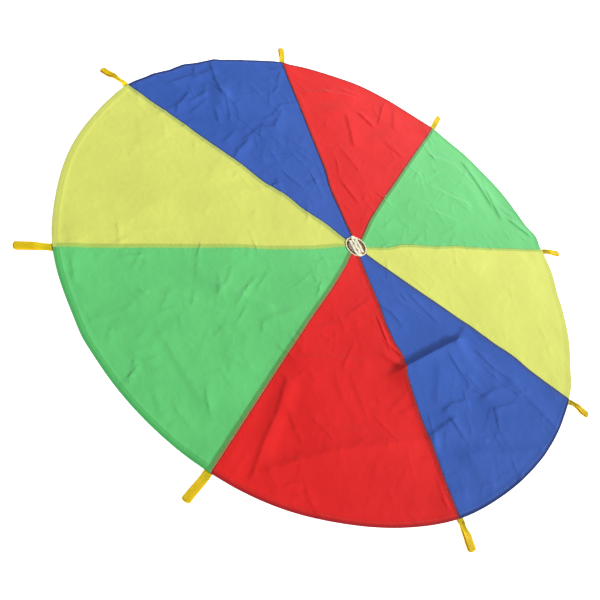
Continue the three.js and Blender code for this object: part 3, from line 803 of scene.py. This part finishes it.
def finish_material(tree, looks):
    shader = add_node(tree, "ShaderNodeBsdfPrincipled", looks)
    add_node(tree, "ShaderNodeOutputMaterial", {"Surface": shader.outputs["BSDF"]})


def edge_band(tree, name, near, far, strength):
    """A share that is even up to a distance from one of the cloth's edges and fades out beyond it."""
    distance = add_node(tree, "ShaderNodeAttribute", attribute_name=name).outputs["Fac"]
    fading = {"Value": distance, "From Min": near, "From Max": far, "To Min": strength, "To Max": 0}
    faded = add_node(tree, "ShaderNodeMapRange", fading, interpolation_type="SMOOTHSTEP")
    return faded.outputs["Result"]


def woven(tree, flat, pitch):
    """The relief of a plain weave: threads both ways, this far apart."""
    threads = {}
    for number, way in enumerate("XY"):
        wave = {"Vector": flat, "Scale": wave_scale(pitch)}
        thread = add_node(tree, "ShaderNodeTexWave", wave, bands_direction=way)
        threads[number] = thread.outputs["Fac"]
    return add_node(tree, "ShaderNodeMath", threads, operation="MULTIPLY").outputs["Value"]


def taffeta(colour):
    """Thin polyester taffeta: a plain weave with a soft sheen, crinkled, that lets a turned edge show
    through as a band of another tone. Lines of painted shade darken its seams and its rim."""
    material, tree = new_material(f"{colour}_taffeta")
    place = add_node(tree, "ShaderNodeTexCoord").outputs["Object"]
    flat = add_node(tree, "ShaderNodeUVMap", uv_map="cloth").outputs["UV"]

    base = linear(CLOTH_HEX[colour])
    darker = tuple(c * 0.86 for c in base[:3]) + (1,)
    lighter = tuple(min(1, c * 1.1 + 0.01) for c in base[:3]) + (1,)
    tone = add_node(tree, "ShaderNodeTexNoise", {"Vector": place, "Scale": TONE_SCALE, "Detail": 3})
    layers = [(lighter, tone.outputs["Fac"])]
    bands = [
        (UNDER_HEX[colour], "first_fold", 11, 17, 0.8),
        (YELLOW_OVER_BLUE_HEX, "last_fold", 6, 23, 0.9 if colour == "yellow" else 0),
        (HEM_TONE_AND_RIM_SHADE_HEX[colour], "rim_distance", 17, 19, HEM_TONE[colour]),
        # painted shade along both seams
        (FIRST_SEAM_SHADE_HEX[colour], "first_seam", 2.5, 7, 0.9),
        (LAST_SEAM_SHADE_HEX[colour], "last_seam", 2, 5.5, 0.8),
        # painted shade along the rim, where the hem's edge curls down
        (HEM_TONE_AND_RIM_SHADE_HEX[colour], "rim_distance", 5.5, 11, 0.75),
    ]
    for hex_colour, edge, near, far, strength in bands:
        if strength:
            layers.append((linear(hex_colour), edge_band(tree, edge, near * MM, far * MM, strength)))
    skin = darker
    for over, share in layers:
        skin = add_node(tree, "ShaderNodeMix", {0: share, 6: skin, 7: over}, data_type="RGBA").outputs[2]

    crinkle = add_node(
        tree,
        "ShaderNodeTexNoise",
        {"Vector": place, "Scale": CRINKLE_SCALE, "Detail": 5, "Roughness": 0.55},
    )
    crumple = add_node(
        tree,
        "ShaderNodeTexVoronoi",
        {"Vector": place, "Scale": CRUMPLE_SCALE},
        feature="DISTANCE_TO_EDGE",
    )
    sharp = add_node(
        tree,
        "ShaderNodeMapRange",
        {"Value": crumple.outputs["Distance"], "From Min": 0, "From Max": 0.2, "To Min": 1, "To Max": 0},
        interpolation_type="SMOOTHSTEP",
    )
    pucker = add_node(tree, "ShaderNodeTexNoise", {"Vector": flat, "Scale": PUCKER_SCALE, "Detail": 2})
    beside = [edge_band(tree, seam, *PUCKER_REACH, 1) for seam in ("first_seam", "last_seam")]
    beside_seam = add_node(tree, "ShaderNodeMath", {0: beside[0], 1: beside[1]}, operation="MAXIMUM")
    near_seam = add_node(
        tree,
        "ShaderNodeMath",
        {0: pucker.outputs["Fac"], 1: beside_seam.outputs["Value"]},
        operation="MULTIPLY",
    )
    relief = [
        (crinkle.outputs["Fac"], 3.5 * MM, 0.45),
        (sharp.outputs["Result"], 0.5 * MM, 0.15),
        (near_seam.outputs["Value"], 1.6 * MM, 0.6),
        (woven(tree, flat, DRAWN_WEAVE_PITCH), 0.15 * MM, 0.2),
    ]
    below = {}
    for height, distance, strength in relief:
        inputs = {"Height": height, "Distance": distance, "Strength": strength, **below}
        below = {"Normal": add_node(tree, "ShaderNodeBump", inputs).outputs["Normal"]}
    finish_material(
        tree,
        {
            "Base Color": skin,
            "Roughness": 0.65,
            "IOR": 1.5,
            "Specular IOR Level": 0.1,
            "Sheen Weight": SHEEN[colour],
            "Sheen Roughness": 0.4,
            **below,
        },
    )
    return material


def webbing_material():
    """Flat polypropylene webbing: golden yellow, ribbed across, with painted shade along its selvedges and
    between its ribs.
    """
    material, tree = new_material("golden_polypropylene_webbing")
    flat = add_node(tree, "ShaderNodeUVMap", uv_map="cloth").outputs["UV"]
    weave = woven(tree, flat, WEBBING_RIB_PITCH)
    split = add_node(tree, "ShaderNodeSeparateXYZ", {"Vector": flat})
    aside = add_node(tree, "ShaderNodeMath", {0: split.outputs["X"]}, operation="ABSOLUTE")
    # Painted shade: darker towards both edges and between the ribs
    edge_shade = {
        "Value": aside.outputs["Value"],
        "From Min": WEBBING_WIDTH * 0.36,
        "From Max": WEBBING_WIDTH * 0.5,
        "To Min": 0,
        "To Max": 0.6,
    }
    rib_shade = {"Value": weave, "To Min": 0.25, "To Max": 0}
    skin = linear(WEBBING_HEX)
    for shaded in (edge_shade, rib_shade):
        share = add_node(tree, "ShaderNodeMapRange", shaded).outputs["Result"]
        layer = {0: share, 6: skin, 7: linear(WEBBING_SHADE_HEX)}
        skin = add_node(tree, "ShaderNodeMix", layer, data_type="RGBA").outputs[2]
    bump = add_node(tree, "ShaderNodeBump", {"Height": weave, "Distance": 0.35 * MM, "Strength": 0.7})
    finish_material(
        tree,
        {
            "Base Color": skin,
            "Roughness": 0.6,
            "IOR": 1.49,
            "Specular IOR Level": 0.2,
            "Subsurface Weight": 0.6,
            "Subsurface Radius": (1, 0.75, 0.15),
            "Subsurface Scale": 5 * MM,  # light goes through the loose weave
            "Normal": bump.outputs["Normal"],
        },
    )
    return material


def yarn_material(name, light_hex, dark_hex, pitch, roughness, sheen=0):
    """Spun yarn: matt, with its twist as fine slanting ridges."""
    material, tree = new_material(name)
    place = add_node(tree, "ShaderNodeTexCoord").outputs["Object"]
    twist = add_node(
        tree,
        "ShaderNodeTexWave",
        {"Vector": place, "Scale": wave_scale(pitch), "Distortion": 1.5},
        bands_direction="DIAGONAL",
    ).outputs["Fac"]
    shade = add_node(
        tree,
        "ShaderNodeMix",
        {0: twist, 6: linear(dark_hex), 7: linear(light_hex)},
        data_type="RGBA",
    )
    bump = add_node(tree, "ShaderNodeBump", {"Height": twist, "Distance": 0.3 * MM, "Strength": 0.5})
    finish_material(
        tree,
        {
            "Base Color": shade.outputs[2],
            "Roughness": roughness,
            "Specular IOR Level": 0.2,
            "Sheen Weight": sheen,
            "Subsurface Weight": 0.5,
            "Subsurface Radius": (1, 0.9, 0.7),
            "Subsurface Scale": 2.5 * MM,  # light goes through the fluffy yarn
            "Normal": bump.outputs["Normal"],
        },
    )
    return material


# Crown

NET_LENGTH = 2 * (RING_TAPE_INNER - 3 * MM)
NET_STRANDS = 3
NET_STRAND_PITCH = 15 * MM
NET_WAVE_LENGTH = 30 * MM
NET_WAVE_HEIGHT = 0.9 * MM
NET_YARNS = 4  # side by side in a strand
NET_YARN_RADIUS = 1.8 * MM
NET_YARN_PITCH = 2.8 * MM
NET_TWIST_LENGTH = 26 * MM
NET_DOME = 1.5 * MM
OVERCAST_LOOPS = 46
OVERCAST_RADIUS = 0.9 * MM
OVERCAST_SLANT = 3  # degrees to each side
OVERCAST_UNEVEN_PLACE = 0.3  # of the distance between two loops
OVERCAST_UNEVEN_LENGTH = 0.12
OVERCAST_BEND = (-0.15, np.pi + 0.15)
GROUND_PITCH = 3.6 * MM
GROUND_RADIUS = 0.85 * MM
GROUND_REACH = 34 * MM
GROUND_STEP = 1.4 * MM
GROUND_SWAY = 0.5 * MM
GROUND_SWAY_WAVE = 190  # radians a metre, along a yarn
GROUND_SWAY_PHASE = 900  # and from yarn to yarn
NET_TURN = math.radians(-36)
NET_ENDS_SHARES = [(-0.8, 0.74), (-0.98, 0.96), (-0.72, 0.82)]
NET_STRAND_POINTS = 60
NET_TURN_POINTS = 12
NET_DRAWN_IN = 0.9  # the yarns' pitch where a strand is drawn together, as a share
NET_TWIST_SHARE = 0.12
TAPE_STEPS = 144
TAPE_ROUNDING = 0.4  # of the thickness
RING_TAPE_WAVE = 1.6 * MM


def tube(line, radius, sides=10):
    """Points and faces of a round cord along a line."""
    line = np.asarray(line)
    along = unit(np.gradient(line, axis=0))
    side = unit(np.cross(along, [0, 0, 1]))
    up = np.cross(side, along)
    turn = np.arange(sides) / sides * 2 * np.pi
    ring = np.cos(turn)[None, :, None] * side[:, None] + np.sin(turn)[None, :, None] * up[:, None]
    points = line[:, None] + ring * radius
    return points.reshape(-1, 3), ring_faces(len(line), sides)


def set_down(x, y, z):
    turned_x = x * math.cos(NET_TURN) - y * math.sin(NET_TURN) + VENT_CENTRE[0]
    turned_y = x * math.sin(NET_TURN) + y * math.cos(NET_TURN) + VENT_CENTRE[1]
    return np.stack([turned_x, turned_y, z], -1)


def net_middle():
    """The middle of the net's drawn-out strands, which turn back at the net's ends: one winding line."""
    line = []
    for strand, (start, end) in enumerate(NET_ENDS_SHARES):
        x = np.linspace(start, end, NET_STRAND_POINTS) * NET_LENGTH / 2
        wave = (-1) ** strand * np.cos(2 * np.pi * x / NET_WAVE_LENGTH)
        y = NET_STRAND_PITCH * (strand - (NET_STRANDS - 1) / 2) + NET_WAVE_HEIGHT * wave
        run = np.stack([x, y], 1)
        line.append(run if strand % 2 == 0 else run[::-1])
    joined_line = [line[0]]
    for before, after in zip(line, line[1:]):
        start, end = before[-1], after[0]
        middle = (start + end) / 2
        reach = np.linalg.norm(end - start) / 2
        outward = 1 if start[0] > 0 else -1
        turn = np.linspace(0, np.pi, NET_TURN_POINTS)[1:-1, None]
        bow = np.concatenate([outward * reach * np.sin(turn), 0 * turn], 1)
        joined_line.append(middle + (start - middle) * np.cos(turn) + bow)
        joined_line.append(after)
    return np.concatenate(joined_line)


def crown_net(material):
    middle = net_middle()
    along = unit(np.gradient(middle, axis=0))
    side = np.stack([-along[:, 1], along[:, 0]], 1)
    run = run_along(middle)
    parts = []
    for yarn in range(NET_YARNS):
        place = (yarn - (NET_YARNS - 1) / 2) * NET_YARN_PITCH
        phase = 2 * np.pi * (run / NET_TWIST_LENGTH + yarn / NET_YARNS)
        shift = place * (NET_DRAWN_IN + NET_TWIST_SHARE * np.cos(phase))
        x, y = (middle + side * shift[:, None]).T
        from_middle = (x / (NET_LENGTH / 2)) ** 2 + (y / (NET_STRAND_PITCH * NET_STRANDS / 2)) ** 2
        lift = NET_YARN_RADIUS * (1 + NET_TWIST_SHARE * np.sin(phase))
        z = CLOTH_ON_BACK_TAPE + NET_YARN_RADIUS + lift + NET_DOME * np.clip(1 - from_middle, 0, 1)
        parts.append(tube(set_down(x, y, z), NET_YARN_RADIUS))
    return joined("crown_cord_net", parts, material)


def overcast(material):
    """Loops of cord sewn over the ring tape's outer edge, side by side. They were sewn by hand, so neither
    their distances nor their lengths are even."""
    parts = []
    bend = np.linspace(*OVERCAST_BEND, 9)
    height = RING_TAPE_BOTTOM + (TAPE_THICKNESS + 1.4 * OVERCAST_RADIUS) * np.sin(bend)
    for loop in range(OVERCAST_LOOPS):
        turn = 360 * (loop + OVERCAST_UNEVEN_PLACE * math.sin(loop * 2.3)) / OVERCAST_LOOPS
        longer = 1 + OVERCAST_UNEVEN_LENGTH * math.sin(loop * 1.7)
        half = (RING_TAPE_OUTER - RING_TAPE_INNER) / 2 * longer
        radius = (RING_TAPE_OUTER + RING_TAPE_INNER) / 2 - half * np.cos(bend)
        slant = turn + OVERCAST_SLANT * np.cos(bend)
        place = direction(slant) * radius[:, None] + VENT_CENTRE
        parts.append(tube(np.concatenate([place, height[:, None]], 1), OVERCAST_RADIUS, sides=8))
    return joined("crown_overcast_cord", parts, material)


def crown_mesh(material):
    """The fine square mesh under the drawn-out strands, laid on the tan tape. Its dark tan is painted shade
    for the gaps of the net.
    """
    parts = []
    for turned in (0, 1):
        for place in np.arange(-GROUND_REACH + GROUND_PITCH / 2, GROUND_REACH, GROUND_PITCH):
            half = math.sqrt(GROUND_REACH**2 - place**2)
            along = np.linspace(-half, half, max(3, int(half / GROUND_STEP)))
            over_under = np.sin(np.pi * along / GROUND_PITCH + np.pi * turned)
            level = CLOTH_ON_BACK_TAPE + GROUND_RADIUS * (1 + 0.5 * over_under)
            sway = np.sin(along * GROUND_SWAY_WAVE + place * GROUND_SWAY_PHASE)
            aside = np.full_like(along, place) + GROUND_SWAY * sway
            x, y = (along, aside) if turned else (aside, along)
            parts.append(tube(set_down(x, y, level), GROUND_RADIUS, sides=6))
    return joined("crown_fine_mesh", parts, material)


def tape_ring(name, inner, outer, bottom, wave, material):
    """A ring of tape with rounded edges that ripples a little where it is eased round the curve."""
    edge = TAPE_THICKNESS * TAPE_ROUNDING
    section = [
        (inner, 0.5), (inner + edge * 0.4, 0.85), (inner + edge, 1),
        (outer - edge, 1), (outer - edge * 0.4, 0.85), (outer, 0.5),
        (outer - edge * 0.4, 0.15), (outer - edge, 0),
        (inner + edge, 0), (inner + edge * 0.4, 0.15),
    ]
    turn = np.arange(TAPE_STEPS) / TAPE_STEPS * 2 * np.pi
    ripple = wave * (1 + np.sin(turn * 17) * 0.6 + np.sin(turn * 29 + 1) * 0.4) / 2
    waved = 0.4 * wave * np.sin(turn * 13)
    points = []
    for radius, share in section:
        place = direction(np.degrees(turn)) * (radius + waved)[..., None] + VENT_CENTRE
        points.append(np.concatenate([place, (bottom + TAPE_THICKNESS * share + ripple)[:, None]], 1))
    faces = ring_faces(TAPE_STEPS, len(section), closed=True)
    return mesh_object(name, np.stack(points, 1), faces, material)


# Hand loops

PLY_THICKNESS = 0.9 * MM
PINCH_END_SHARE = 0.75
TIP_ROUNDING = 4.5 * MM
PATH_STEP = 1.6 * MM
PINCH_ROOT_SHARE = 0.16
PINCH_TOP_SHARE = 0.3
TIP_START_SHARE = 0.86
BIGHT_POINTS = 16
# Half of the webbing's section, as shares of its width and of half its thickness
SECTION = [(-0.5, 0), (-0.485, 0.8), (-0.44, 1), (-0.15, 1), (0.15, 1), (0.44, 1), (0.485, 0.8)]


def strap_path(length, height):
    """The middle of the webbing from its lower sewn end, round the loop and back to its upper one, as
    places along it and heights."""
    half = WEBBING_THICKNESS / 2
    radius = height / 2
    straight = 1 - radius / length
    swollen = PARTING_SHARE + SWELL_SHARE
    lower = [(x, half) for x in np.arange(-TAIL_LENGTH, straight * length, PATH_STEP)]
    end = []
    for turn in np.radians(np.linspace(-90, 90, BIGHT_POINTS)):
        bow = radius - half
        end.append((straight * length + bow * math.cos(turn), radius + bow * math.sin(turn)))
    upper = []
    for x in np.arange(straight * length, -TAIL_LENGTH + TAIL_STEP, -PATH_STEP):
        opened = mix(2 * WEBBING_THICKNESS, height, smooth(x / length, PARTING_SHARE, swollen))
        upper.append((x, float(opened) - half))
    return np.array(lower + end + upper[1:])


def strap_piece(handle, material):
    side, length_share, height_share, mid_roll, mid_sway, tip_sway, tip_lift, pinch = HANDLE_SHARES[handle]
    length, height = LOOP_LENGTH * length_share, LOOP_HEIGHT * height_share
    path = strap_path(length, height)
    along = unit(np.gradient(path, axis=0))
    normal = np.stack([-along[:, 1], along[:, 0]], 1)
    outline = SECTION + [(-a, -b) for a, b in SECTION]
    a = np.array([p[0] for p in outline]) * WEBBING_WIDTH
    b = np.array([p[1] for p in outline]) * PLY_THICKNESS / 2
    x = path[:, 0][:, None] + normal[:, 0][:, None] * b
    z = path[:, 1][:, None] + normal[:, 1][:, None] * b
    across = np.broadcast_to(a, x.shape)
    share = np.clip(x / length, 0, None)
    middle = np.sin(np.pi * np.minimum(1, share / ROLL_SHARE)) ** 2
    towards_tip = smooth(share, 0, 1)
    roll = np.radians(mid_roll) * middle
    sway = LOOP_LENGTH * (mid_sway * middle + tip_sway * towards_tip)
    lift = WEBBING_WIDTH / 2 * np.abs(np.sin(roll)) + LOOP_LENGTH * tip_lift * towards_tip
    above = z - height / 2
    folded = smooth(share, 0, PINCH_ROOT_SHARE) * (1 - smooth(share, PINCH_TOP_SHARE, PINCH_END_SHARE))
    bent = np.radians(pinch) * folded
    above = above + (np.abs(across) - WEBBING_WIDTH / 4) * np.sin(bent) + WEBBING_WIDTH / 4 * np.sin(bent)
    across = across * np.cos(bent)
    rounding = TIP_ROUNDING * (np.abs(across) / (WEBBING_WIDTH / 2)) ** 4 * smooth(share, TIP_START_SHARE, 1)
    local_x = x + LOOP_START * smooth(x, -LOOP_START, LOOP_START) - rounding
    local_y = sway + across * np.cos(roll) - above * np.sin(roll)
    local_z = height / 2 + lift + above * np.cos(roll) + across * np.sin(roll)
    corner = rim_point(handle, np.array(0.0))
    outward = corner / np.linalg.norm(corner)
    sideways = np.array([-outward[1], outward[0]])
    root = corner + sideways * side * WEBBING_WIDTH
    place = root + local_x[..., None] * outward + local_y[..., None] * sideways
    points = np.concatenate([place, local_z[..., None]], -1)
    number = handle + 1
    faces = ring_faces(len(path), a.size)
    piece = mesh_object(f"handle_{number}_webbing", points, faces, material)
    run = run_along(path)
    flat = np.stack([across, np.broadcast_to(run[:, None], across.shape)], -1)
    add_cloth_map(piece.data, "cloth", flat)
    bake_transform(piece)
    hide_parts(f"handle_{number}_sewn_ends", f"handle_{number}_loop")


# Put together

thread = yarn_material("tan_polyester_thread", THREAD_HEX, THREAD_SHADE_HEX, 0.8 * MM, 0.6)
cream_cord = yarn_material("cream_cotton_cord", CORD_HEX, CORD_SHADE_HEX, 2.2 * MM, 0.85, sheen=0.6)
shaded_mesh = yarn_material("cotton_mesh_painted_shade", GROUND_SHADED_HEX, GROUND_SHADE_HEX, 1.4 * MM, 0.9)
cream_tape = yarn_material("cream_cotton_tape", TAPE_HEX, TAPE_SHADE_HEX, 1.5 * MM, 0.85)
tan_tape = yarn_material("tan_cotton_tape", TAN_TAPE_HEX, TAN_SHADE_HEX, 1.5 * MM, 0.9)
webbing = webbing_material()
cloths = {colour: taffeta(colour) for colour in CLOTH_HEX}

for gore, colour in enumerate(GORE_COLOURS):
    piece = gore_piece(gore, cloths[colour])
    solidify(piece, CLOTH_THICKNESS)
    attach(piece, "canopy")
    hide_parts(f"gore_{gore + 1}_{colour}")
    stitching = gore_stitching(gore, thread)
    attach(stitching, "canopy")
    flat_width = width_at(gore, 1) + 2 * SEAM_ALLOWANCE
    flat_length = middle_length(gore) + HEM_WIDTH

ring_size = (RING_TAPE_INNER, RING_TAPE_OUTER, RING_TAPE_BOTTOM, RING_TAPE_WAVE)
crown_pieces = [
    (crown_net(cream_cord), "crown_net", "cream_net"),
    (tape_ring("crown_cream_tape", *ring_size, cream_tape), "crown_ring_tape", "cream_tape"),
    (
        tape_ring("crown_tan_tape", BACK_TAPE_INNER, BACK_TAPE_OUTER, 0, 0, tan_tape),
        "crown_back_tape",
        "tan_tape",
    ),
]
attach(crown_mesh(shaded_mesh), "canopy")
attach(overcast(cream_cord), "canopy")
for piece, node, slot in crown_pieces:
    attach(piece, "canopy")
    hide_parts(node)

for handle in range(GORES):
    strap_piece(handle, webbing)

# Floor, light and camera

FLOOR_HALF = 12.0
FLOOR_DROP = 0.2 * MM
FLOOR_GLOW = 0.75
SKY_STRENGTH = 0.28
floor_material, floor_tree = new_material("pale_floor")
finish_material(
    floor_tree,
    {
        "Base Color": linear(FLOOR_HEX),
        "Roughness": 0.9,
        "Specular IOR Level": 0,
        "Emission Color": linear(FLOOR_HEX),
        "Emission Strength": FLOOR_GLOW,
    },
)
corners = np.array([(-1, -1, 0), (1, -1, 0), (1, 1, 0), (-1, 1, 0)]) * FLOOR_HALF - [0, 0, FLOOR_DROP]
floor = mesh_object("floor", corners, [[0, 1, 2, 3]], floor_material, smooth_faces=False)

world = bpy.data.worlds.new("studio")
bpy.context.scene.world = world
world.use_nodes = True
world.node_tree.nodes["Background"].inputs["Color"].default_value = (1, 1, 1, 1)
world.node_tree.nodes["Background"].inputs["Strength"].default_value = SKY_STRENGTH
bpy.context.scene.view_settings.view_transform = "Standard"


def lamp(name, kind, place, strength, **settings):
    light = bpy.data.lights.new(name, kind)
    light.energy = strength
    for key, value in settings.items():
        setattr(light, key, value)
    holder = bpy.data.objects.new(name, light)
    bpy.context.scene.collection.objects.link(holder)
    holder.location = place
    holder.rotation_euler = (-Vector(place)).to_track_quat("-Z", "Y").to_euler()


lamp("key", "SUN", (6, 1.1, 2.9), 4.9, angle=math.radians(14))
lamp("far_panel", "AREA", (0.3, 3.1, 2.2), 64, size=1.6)

CAMERA_PLACE = Vector((-0.08235, -1.50428, 1.3985))
CAMERA_RIGHT = Vector((0.81345944, 0.4388266, 0.38172629))
CAMERA_FORWARD = Vector((0.02202292, 0.63260382, -0.77416238))
CAMERA_LENS = 32.884
CAMERA_SENSOR = 36
camera_data = bpy.data.cameras.new("camera")
camera_data.lens = CAMERA_LENS
camera_data.sensor_width = CAMERA_SENSOR
camera = bpy.data.objects.new("camera", camera_data)
bpy.context.scene.collection.objects.link(camera)
camera_up = CAMERA_RIGHT.cross(CAMERA_FORWARD)
camera_turn = Matrix((CAMERA_RIGHT, camera_up, -CAMERA_FORWARD)).transposed()
camera.matrix_world = Matrix.Translation(CAMERA_PLACE) @ camera_turn.to_4x4()
bpy.context.scene.camera = camera
